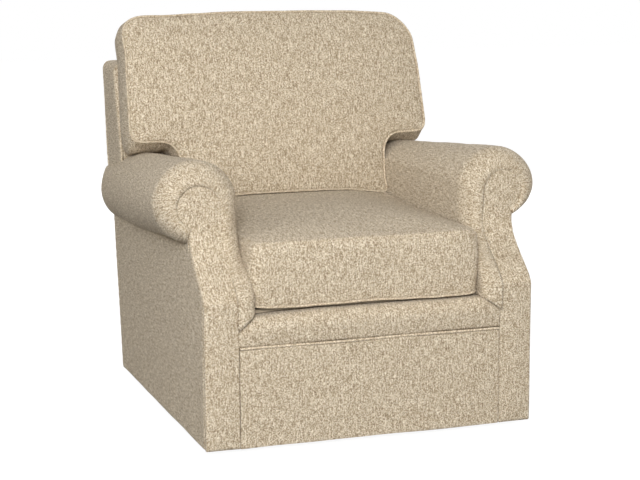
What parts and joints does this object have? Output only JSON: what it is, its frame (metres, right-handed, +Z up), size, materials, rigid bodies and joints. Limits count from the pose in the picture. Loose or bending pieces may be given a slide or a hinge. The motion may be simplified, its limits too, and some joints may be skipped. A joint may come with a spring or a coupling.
{
  "type": "swivel glider chair",
  "caption": "Upholstered club armchair with rolled arms, boxed seat cushion and T-shaped back cushion, on a swivel base whose links let it glide.",
  "frame": {"origin": "on the floor, on the swivel axis, in the middle of the chair's width and depth", "axes": "+Z up, -Y the way the sitter looks, +X to the right of someone facing the chair"},
  "size_m": [0.9456, 0.9901, 0.9714],
  "materials": {
    "tweed": "oatmeal tweed, slubby weave",
    "welt_cord": "bias-cut tweed over cord",
    "hardwood": "sawn, unfinished",
    "black_steel": "black enamel",
    "bright_steel": "zinc plated",
    "spring_steel": "oiled wire",
    "nylon": "natural nylon",
    "rubber": "moulded",
    "webbing": "woven jute",
    "deck_felt": "plain deck cloth over felt",
    "cambric": "non-woven"
  },
  "bodies": {
    "floor_base": {"floor_pads": "rubber", "floor_ring": "black_steel", "ring_crossbars": "black_steel", "lower_swivel_plate": "black_steel", "bearing_balls": "bright_steel", "swivel_bolt": "bright_steel", "swivel_nut": "bright_steel"},
    "swivel_frame": {"upper_swivel_plate": "black_steel", "base_cross_bars": "black_steel", "plate_bolts": "bright_steel", "base_side_left": "black_steel", "base_side_right": "black_steel", "top_pivot_pins": "bright_steel", "top_pin_clips": "bright_steel", "bump_stops": "rubber"},
    "front_links": {"front_link_left": "black_steel", "front_link_right": "black_steel", "front_link_bushes": "nylon"},
    "rear_links": {"rear_link_left": "black_steel", "rear_link_right": "black_steel", "rear_link_bushes": "nylon"},
    "chair": {"carriage_rail_left": "black_steel", "carriage_rail_right": "black_steel", "bottom_pivot_pins": "bright_steel", "bottom_pin_clips": "bright_steel", "mounting_bolts": "bright_steel", "mounting_stretchers": "hardwood", "front_lower_rail": "hardwood", "side_lower_rails": "hardwood", "back_lower_rail": "hardwood", "front_seat_rail": "hardwood", "side_seat_rails": "hardwood", "back_seat_rail": "hardwood", "corner_blocks": "hardwood", "arm_posts": "hardwood", "arm_top_boards": "hardwood", "back_posts": "hardwood", "back_cross_rails": "hardwood", "seat_springs": "spring_steel", "spring_clips": "bright_steel", "back_webbing": "webbing", "seat_deck": "deck_felt", "dust_cover": "cambric", "front_nosing": "tweed", "front_apron": "tweed", "apron_welt": "welt_cord", "outside_arm_left": "tweed", "outside_arm_right": "tweed", "inside_arm_left": "tweed", "inside_arm_right": "tweed", "arm_roll_left": "tweed", "arm_roll_right": "tweed", "arm_front_left": "tweed", "arm_front_right": "tweed", "inside_back": "tweed", "outside_back": "tweed", "back_sides": "tweed", "seat_cushion": "tweed", "back_cushion": "tweed", "cushion_welts": "welt_cord"}
  },
  "joints": [
    {"name": "swivel", "type": "hinge", "parent": "floor_base", "child": "swivel_frame", "pos_m": [0, 0, 0.04225], "axis": [0, 0, 1], "continuous": true},
    {"name": "glide", "type": "hinge", "parent": "swivel_frame", "child": "front_links", "pos_m": [0, -0.11, 0.213], "axis": [1, 0, 0], "range_deg": [-20, 20]},
    {"name": "rear_glide", "type": "hinge", "parent": "swivel_frame", "child": "rear_links", "pos_m": [0, 0.11, 0.213], "axis": [1, 0, 0], "range_deg": [-20, 20]},
    {"name": "seat_level", "type": "hinge", "parent": "front_links", "child": "chair", "pos_m": [0, -0.11, 0.095], "axis": [1, 0, 0], "range_deg": [-20, 20]}
  ],
  "couplings": [
    {"joint": "rear_glide", "follows": "glide", "ratio": 1},
    {"joint": "seat_level", "follows": "glide", "ratio": -1}
  ]
}
